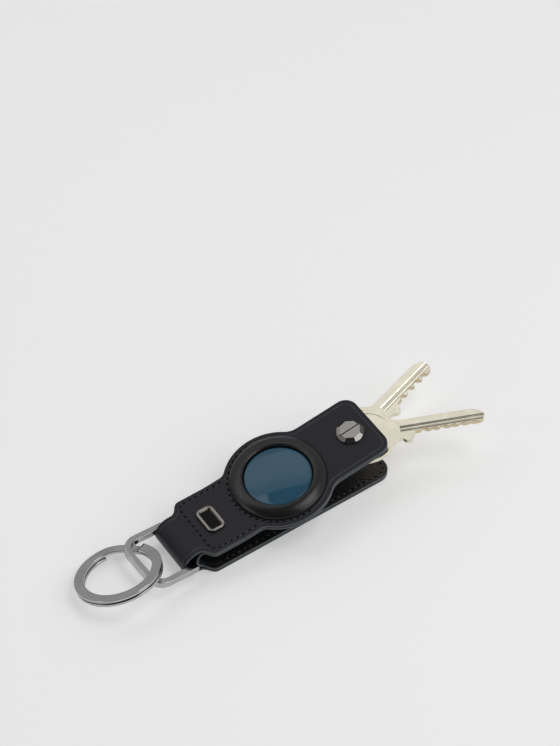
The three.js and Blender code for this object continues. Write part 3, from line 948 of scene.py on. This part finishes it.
class MakeLining(bpy.types.Operator):
    """Lining: the inner strip, whose smaller loop in the fold leaves room for the D-ring's bar"""
    bl_idname = "keycase.lining"
    bl_label = "Lining"

    def execute(self, context):
        grained = leather_finish("grained_lining", tint("lining"), grain=1.1, depth=0.16,
                                 roughness=0.34, specular=0.5)
        strip = creased_strip(LINING_SHIFT, LINING_THICK, grained, bpy.data.materials["edge_paint"])
        strip.data.transform(Matrix.Translation((0, 0, -LINING_THICK)) @ Matrix.Rotation(math.pi, 4, "X"))
        pierce(strip, LINING_SHIFT, -LINING_THICK)
        fold_strip(strip, "lining", LINING_SHIFT, LINING_BEND, LINING_LINE)
        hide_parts("lower_lining", "upper_lining")
        return {"FINISHED"}


class MakeStitching(bpy.types.Operator):
    """Stitching: the seams round the strap, the tracker and the lower cover, on both faces"""
    bl_idname = "keycase.stitching"
    bl_label = "Stitching"

    def execute(self, context):
        strap, round_seam, lower = seam_paths()
        thread = thread_finish()
        sink = size("crease_depth")
        for name, body, paths, side in (
                ("strap_stitching", "upper_case", [strap, round_seam], 1),
                ("lower_stitching", "lower_case", [lower], -1)):
            outside = sew(paths, OUTER_SHIFT, -sink, OUTER_LINE, side)
            inside = sew(paths, LINING_SHIFT, sink - LINING_THICK, LINING_LINE, side)
            seam = join_pieces([outside, inside])
            paint(seam, thread)
            settle(seam, name, angle=60.0)
            dress(seam, body, "leather")
        return {"FINISHED"}


class MakeHolder(bpy.types.Operator):
    """Holder: the moulded ring that grips the leather and holds the tracker"""
    bl_idname = "keycase.holder"
    bl_label = "Tracker holder"

    def execute(self, context):
        ring = turned(HOLDER_PROFILE, steps=160)
        round_edges(ring, HOLDER_ROUND, segments=2)
        paint(ring, holder_finish())
        settle(ring, "holder_ring", RING_SEAT)
        dress(ring, "upper_case", "holder", "tracker_holder")
        return {"FINISHED"}


def dome(reach, crown, steps):
    """Points of radius and height on a face of the tracker front, from its middle outwards."""
    radii = [reach * number / steps for number in range(steps + 1)]
    return [(radius, crown - DISC_FALL * (radius / DISC_RADIUS) ** 2) for radius in radii]


class MakeTracker(bpy.types.Operator):
    """Tracker: its glossy domed front, and finishes for the parts inside it"""
    bl_idname = "keycase.tracker"
    bl_label = "Tracker"

    def execute(self, context):
        profile = dome(DISC_RADIUS * DISC_DOME, DISC_CROWN, 19)
        profile += [*DISC_EDGE, (DISC_RADIUS, DISC_FOOT), (DISC_INNER, DISC_FOOT)]
        profile += dome(DISC_INNER, DISC_CROWN - DISC_WALL, 7)[::-1]
        front = turned(profile, steps=128)
        paint(front, disc_finish())
        settle(front, "tracker_disc", RING_SEAT, angle=40.0)
        dress(front, "tracker", "tracker", "tracker_front")
        steel = metal_finish("cell_steel", (0.62, 0.62, 0.61), 0.25, stretch=(0.2, 3.0, 1.0))
        brass = metal_finish("contact_brass", (0.72, 0.55, 0.27), 0.3)
        plastic = moulded_finish("cell_plastic", (0.02, 0.021, 0.023), 0.5)
        resist = moulded_finish("board_resist", (0.012, 0.07, 0.032), 0.4)
        for node, finish in (
                ("battery_door", steel), ("coin_cell", steel), ("cell_frame", plastic),
                ("battery_contact", brass), ("sounder", brass), ("circuit_board", resist)):
            paint(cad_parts[node], finish)
        return {"FINISHED"}


class MakePlate(bpy.types.Operator):
    """Plate: the plain metal plate on the strap, with a raised border"""
    bl_idname = "keycase.plate"
    bl_label = "Strap plate"

    def execute(self, context):
        plate = flat_sheet(PLATE_LENGTH, PLATE_WIDTH)
        open_edit(plate)
        select_whole()
        bpy.ops.mesh.bevel(offset=PLATE_CORNER, segments=8, affect="VERTICES")
        bpy.ops.mesh.select_mode(type="FACE")
        select_whole()
        extrude((0, 0, PLATE_THICK))
        bpy.ops.mesh.inset(thickness=PLATE_BORDER)
        bpy.ops.mesh.inset(thickness=PLATE_SLOPE, depth=-PLATE_RECESS)
        close_edit()
        face_outwards(plate)
        round_edges(plate, PLATE_ROUND, angle=40)
        gunmetal = metal_finish("plate_gunmetal", PLATE_METAL, 0.2, turn=0.35, stretch=(0.25, 3.0, 1.0))
        paint(plate, gunmetal, moulded_finish("black_enamel", PLATE_ENAMEL, 0.5, specular=0.12))
        paint_picked(plate, lambda face: lies_at(face, PLATE_THICK - PLATE_RECESS))
        settle(plate, "plain_plate", Matrix.Translation((FOLD_X + PLATE_S, 0, STRAP_TOP + PLATE_LIFT)))
        dress(plate, "upper_case", "gunmetal", "strap_plate")
        return {"FINISHED"}


class MakeScrew(bpy.types.Operator):
    """Screw: the faceted slotted head and its shank, and finishes for the post and washers"""
    bl_idname = "keycase.screw"
    bl_label = "Binding screw"

    def execute(self, context):
        head = SCREW_HEIGHT + SCREW_LIFT
        screw = rod(SCREW_FOOT, SCREW_HEIGHT, (0, 0, SCREW_HEIGHT / 2 + SCREW_LIFT), 96)
        lean = Vector((1, 0, 1)).normalized()
        open_edit(screw)
        for number in range(SCREW_FACETS):
            angle = SCREW_FACET_TURN + 360 / SCREW_FACETS * number
            turn = Matrix.Rotation(math.radians(angle), 3, "Z")
            select_whole()
            bpy.ops.mesh.bisect(plane_co=turn @ Vector((SCREW_TOP, 0, head)), plane_no=turn @ lean,
                                clear_outer=True, use_fill=True)
        close_edit()
        pick(screw, lambda face: face.normal.z < -0.9)
        bpy.ops.mesh.inset(thickness=SCREW_FOOT - SHANK_RADIUS)
        extrude((0, 0, -SHANK_LENGTH))
        close_edit()
        face_outwards(screw)
        round_edges(screw, SCREW_ROUND, segments=2, angle=25)
        carve(screw, bar(2 * SCREW_FOOT, SLOT_WIDTH, 2 * SLOT_DEPTH, (0, 0, head), SLOT_TURN))
        paint(screw, metal_finish("screw_gunmetal", SCREW_METAL, 0.12, turn=-SLOT_TURN,
                                  stretch=(0.3, 3.0, 1.0), brushed=0.07))
        settle(screw, "slotted_screw", SCREW_SEAT, angle=18.0)
        dress(screw, "screw", "gunmetal", "binding_screw")
        paint(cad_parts["screw_post"], metal_finish("post_gunmetal", tint("gunmetal"), 0.22))
        steel = metal_finish("washer_steel", (0.55, 0.55, 0.54), 0.3)
        paint(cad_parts["top_washer"], steel)
        paint(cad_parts["middle_washer"], steel)
        return {"FINISHED"}


def curve_through(start, corner, end, steps=5):
    """A soft corner: points from start to end that bend at the corner."""
    points = []
    for number in range(steps + 1):
        u = number / steps
        weights = ((1 - u) ** 2, 2 * u * (1 - u), u * u)
        x, y = (sum(w * p for w, p in zip(weights, line)) for line in zip(start, corner, end))
        points.append((x, y))
    return points


def soft_corner(x, y, offsets, steps=3):
    """A soft corner whose three points are offsets from x and y."""
    start, corner, end = ((x + dx, y + dy) for dx, dy in offsets)
    return curve_through(start, corner, end, steps)


def key_outline(key):
    spine_angle = math.degrees(math.asin(KEY_SPINE / BOW_RADIUS))
    neck_angle = math.degrees(math.asin(-KEY_NECK / BOW_RADIUS))
    bow = arc(BOW_X, 0, BOW_RADIUS, spine_angle + SPINE_OPEN, 360 - neck_angle - NECK_OPEN, 72)
    spine_root = BOW_X + BOW_RADIUS * math.cos(math.radians(spine_angle))
    neck_root = BOW_X + BOW_RADIUS * math.cos(math.radians(neck_angle))
    edge, tip, pitch = key["edge"], key["tip"], key["pitch"]
    points = bow + curve_through(bow[-1], (neck_root, KEY_NECK), (neck_root + NECK_CORNER, KEY_NECK))[1:]
    points += soft_corner(KEY_STOP_START, KEY_NECK, STOP_NECK)
    points += soft_corner(KEY_STOP_START, KEY_STOP, STOP_FOOT)
    points += [(KEY_STOP_START + STOP_HEEL[0], KEY_STOP + STOP_HEEL[1]), (KEY_STOP_END, edge)]
    for number, depth in enumerate(key["cuts"]):
        x = KEY_STOP_END + FIRST_CUT * pitch + pitch * number
        flank = CUT_FLANK * depth
        points += [(x - CUT_HALF - flank, edge), (x - CUT_HALF, edge + depth)]
        points += [(x + CUT_HALF, edge + depth), (x + CUT_HALF + flank, edge)]
    points += soft_corner(tip, edge, TIP_EDGE, 5)
    points += soft_corner(tip, KEY_SPINE, TIP_NOSE)
    points += soft_corner(tip, KEY_SPINE, TIP_SPINE)
    points += curve_through((spine_root + SPINE_CORNER, KEY_SPINE), (spine_root, KEY_SPINE), bow[0])[:-1]
    return points


def mill_groove(blank, run, y, z, radius):
    """Mills a round groove along a blade."""
    cutter = rod(radius, run)
    centre = Matrix.Translation((GROOVE_START + run / 2, y, z))
    cutter.data.transform(centre @ Matrix.Rotation(math.pi / 2, 4, "Y"))
    carve(blank, cutter)


def is_cut(face, key):
    """A face of the cut edge, where the plating is gone."""
    x, y, _ = face.center
    top = key["edge"] + max(key["cuts"]) + BRASS_ABOVE
    return x > KEY_STOP_END - BRASS_BEFORE and y < top and abs(face.normal.z) < BRASS_TILT


def make_key(name, body, node, key):
    blank = cut_blank(key_outline(key))
    thicken(blank, KEY_THICK, 1)
    round_edges(blank, KEY_ROUND, segments=2, angle=30)
    carve(blank, rod(KEY_HOLE, CUTTER_LENGTH, vertices=40))
    outside = DISH_CUTTER / 2 - DISH_DEPTH
    for height in (KEY_THICK + outside, -outside):
        carve(blank, rod(BOW_RADIUS - BOW_RIM, DISH_CUTTER, (BOW_X, 0, height), 96))
    for y, radius, depth in KEY_GROOVES:
        mill_groove(blank, key["tip"], y, KEY_THICK + radius - depth, radius)
    y, radius, depth = KEY_UNDER_GROOVE
    mill_groove(blank, key["tip"], y, depth - radius, radius)
    turn = math.radians(key["angle"])
    nickel = metal_finish(name + "_nickel", tint("nickel"), 0.25, turn=-turn,
                          stretch=(0.1, 1.3, 1.0), brushed=0.02)
    brass = metal_finish(name + "_brass", tint("brass"), 0.22, turn=-turn,
                         stretch=(1.0, 1.0, 0.2), brushed=0.06)
    paint(blank, nickel, brass)
    paint_picked(blank, lambda face: is_cut(face, key))
    place = SCREW_SEAT @ Matrix.Rotation(turn, 4, "Z") @ Matrix.Translation((0, 0, key["base"]))
    settle(blank, name, place, angle=25.0)
    dress(blank, body, "key", node)


class MakeKeys(bpy.types.Operator):
    """Keys: a long and a short cylinder key with milled grooves and a dished bow"""
    bl_idname = "keycase.keys"
    bl_label = "Keys"

    def execute(self, context):
        make_key("long_key", "key_a", "key_a", LONG_KEY)
        make_key("short_key", "key_b", "key_b", SHORT_KEY)
        return {"FINISHED"}


class MakeLink(bpy.types.Operator):
    """D-ring: flat wire on edge, square in the fold and round at its far end"""
    bl_idname = "keycase.d_ring"
    bl_label = "D-ring"

    def execute(self, context):
        span = LINK_REACH + LINK_WIRE / 2
        link = flat_sheet(span, 2 * LINK_HALF)
        link.data.transform(Matrix.Translation((LINK_WIRE / 2 - span / 2, 0, 0)))
        pick(link, lambda vertex: vertex.co.x < 0, "VERT")
        bpy.ops.mesh.bevel(offset=LINK_CORNER, segments=18, affect="VERTICES")
        bpy.ops.mesh.select_mode(type="FACE")
        select_whole()
        bpy.ops.mesh.inset(thickness=LINK_WIRE)
        bpy.ops.mesh.delete(type="FACE")
        close_edit()
        pick(link, lambda vertex: -LINK_WIRE < vertex.co.x < 0, "VERT")
        bpy.ops.transform.translate(value=(LINK_SLIM, 0, 0))
        close_edit()
        thicken(link, LINK_HEIGHT, 0)
        face_outwards(link)
        round_edges(link, size("metal_round"), segments=4, angle=40)
        paint(link, metal_finish("ring_gunmetal", tint("gunmetal"), 0.08, brushed=0.04))
        turn = Matrix.Rotation(LINK_TURN, 4, "Z") @ Matrix.Rotation(LINK_DROP, 4, "Y")
        settle(link, "d_link", Matrix.Translation(LINK_PLACE) @ turn)
        dress(link, "d_ring", "gunmetal", "d_ring")
        return {"FINISHED"}


def coil_level(angle, lift):
    """Height of the split ring's wire at an angle of its winding, from the upper turn to the lower one."""
    start, end = COIL_STEP_DOWN
    u = min(max((angle - start) / (end - start), 0.0), 1.0)
    return lift * (1 - 2 * (3 * u * u - 2 * u ** 3))


class MakeCoilRing(bpy.types.Operator):
    """Split ring: one flat wire wound nearly twice, stepping from the upper turn to the lower one"""
    bl_idname = "keycase.coil_ring"
    bl_label = "Split ring"

    def execute(self, context):
        lift = (COIL_WIRE + COIL_GAP) / 2
        ring = flat_sheet(COIL_BAND, COIL_WIRE)
        ring.data.transform(Matrix.Rotation(math.pi / 2, 4, "X"))
        ring.data.transform(Matrix.Translation((COIL_RADIUS - COIL_BAND / 2, 0, lift)))
        ring.data.transform(Matrix.Rotation(math.radians(COIL_FIRST), 4, "Z"))
        open_edit(ring, "FACE")
        select_whole()
        turn = math.radians(COIL_TOTAL / COIL_PIECES)
        height = lift
        for number in range(1, COIL_PIECES + 1):
            level = coil_level(COIL_TOTAL * number / COIL_PIECES, lift)
            extrude((0, 0, level - height))
            bpy.ops.transform.rotate(value=turn, orient_axis="Z", center_override=(0, 0, 0))
            height = level
        close_edit()
        face_outwards(ring)
        round_edges(ring, size("metal_round"), segments=4, angle=40)
        paint(ring, bpy.data.materials["ring_gunmetal"])
        tilt = Matrix.Rotation(COIL_PITCH, 4, "Y") @ Matrix.Rotation(COIL_LEAN, 4, "X")
        settle(ring, "coil_ring", Matrix.Translation(COIL_PLACE) @ tilt)
        dress(ring, "split_ring", "gunmetal", "split_ring")
        return {"FINISHED"}


# Stage

def studio_walls():
    """The light of the walls and the ceiling."""
    world = bpy.data.worlds.new("studio_walls")
    walls = Nodes(world)
    ray = walls.node("ShaderNodeTexCoord", output="Generated")
    middle = Vector((0, 0, math.sin(CEILING_HEIGHT))) - VIEW_AWAY * math.cos(CEILING_HEIGHT)
    near = walls.node("ShaderNodeVectorMath", {"operation": "DOT_PRODUCT"}, {0: ray, 1: middle}, "Value")
    ceiling = walls.steps(near, *CEILING_START)
    up = walls.node("ShaderNodeSeparateXYZ", None, {"Vector": ray}, "Z")
    share = DIM_SHARE + walls.steps(up, *DIM_BAND) * (1 - DIM_SHARE)
    light = (WALL_LIGHT - ceiling * (WALL_LIGHT - CEILING_LIGHT)) * share
    walls.feed(walls.nodes["Background"].inputs["Color"], (1.0, 1.0, 1.0))
    walls.feed(walls.nodes["Background"].inputs["Strength"], light)
    return world


def soft_box(name, right, away, up, width, depth, brightness, turn=None):
    light = bpy.data.lights.new(name, "AREA")
    light.shape = "RECTANGLE"
    light.size = width
    light.size_y = depth
    light.energy = brightness * BOX_POWER * width * depth
    lamp = bpy.data.objects.new(name, light)
    disc = RING_SEAT.translation * MM
    lamp.location = disc + VIEW_RIGHT * right + VIEW_AWAY * away + Vector((0, 0, up))
    lamp.rotation_mode = "QUATERNION"
    if turn is None:
        lamp.rotation_quaternion = (-lamp.location).to_track_quat("-Z", "Y")
    else:
        lamp.rotation_quaternion = Matrix.Rotation(turn - CAMERA_TURN, 3, "Z").to_quaternion()
    bpy.context.scene.collection.objects.link(lamp)


class MakeStage(bpy.types.Operator):
    """Stage: camera, pale floor and soft boxes"""
    bl_idname = "keycase.stage"
    bl_label = "Stage"

    def execute(self, context):
        ahead = VIEW_AWAY * math.cos(CAMERA_DROP) - Vector((0, 0, math.sin(CAMERA_DROP)))
        camera = new_object(bpy.ops.object.camera_add)
        camera.data.sensor_width = SENSOR_WIDTH
        camera.data.lens = SENSOR_WIDTH * FOCAL_PIXELS / PHOTO_PIXELS
        camera.location = (CAMERA_TARGET - ahead * CAMERA_FAR) * MM
        camera.rotation_mode = "QUATERNION"
        camera.rotation_quaternion = ahead.to_track_quat("-Z", "Y")
        camera.data.clip_start = CAMERA_NEAR * MM
        context.scene.camera = camera
        floor = new_object(
            bpy.ops.mesh.primitive_plane_add, size=FLOOR_SIZE, location=(0, 0, -FLOOR_DROP))
        floor.name = "pale_floor"
        paint(floor, floor_finish())
        context.scene.world = studio_walls()
        context.scene.view_settings.view_transform = "Standard"
        for box in SOFT_BOXES:
            soft_box(*box)
        return {"FINISHED"}


class KeyCasePanel(bpy.types.Panel):
    """Lists the pieces of the key case and their sizes and colours"""
    bl_idname = "VIEW3D_PT_key_case"
    bl_label = "Key Case"
    bl_space_type = "VIEW_3D"
    bl_region_type = "UI"
    bl_category = "Key Case"

    def draw(self, context):
        for group in (context.scene.key_case_sizes, context.scene.key_case_colours):
            for name in group.__annotations__:
                self.layout.prop(group, name)
        for operator in PIECES:
            self.layout.operator(operator.bl_idname)


PIECES = (
    MakeStage, MakeOuterLeather, MakeLining, MakeStitching, MakeHolder, MakeTracker, MakePlate,
    MakeScrew, MakeKeys, MakeLink, MakeCoilRing)
CLASSES = (KeyCaseSizes, KeyCaseColours, *PIECES, KeyCasePanel)


def register():
    for cls in CLASSES:
        bpy.utils.register_class(cls)
    bpy.types.Scene.key_case_sizes = bpy.props.PointerProperty(type=KeyCaseSizes)
    bpy.types.Scene.key_case_colours = bpy.props.PointerProperty(type=KeyCaseColours)


def unregister():
    del bpy.types.Scene.key_case_colours
    del bpy.types.Scene.key_case_sizes
    for cls in reversed(CLASSES):
        bpy.utils.unregister_class(cls)


def main():
    register()
    bpy.ops.keycase.stage()
    bpy.ops.keycase.outer_leather()
    bpy.ops.keycase.lining()
    bpy.ops.keycase.stitching()
    bpy.ops.keycase.holder()
    bpy.ops.keycase.tracker()
    bpy.ops.keycase.plate()
    bpy.ops.keycase.screw()
    bpy.ops.keycase.keys()
    bpy.ops.keycase.d_ring()
    bpy.ops.keycase.coil_ring()


if __name__ == "__main__":
    main()
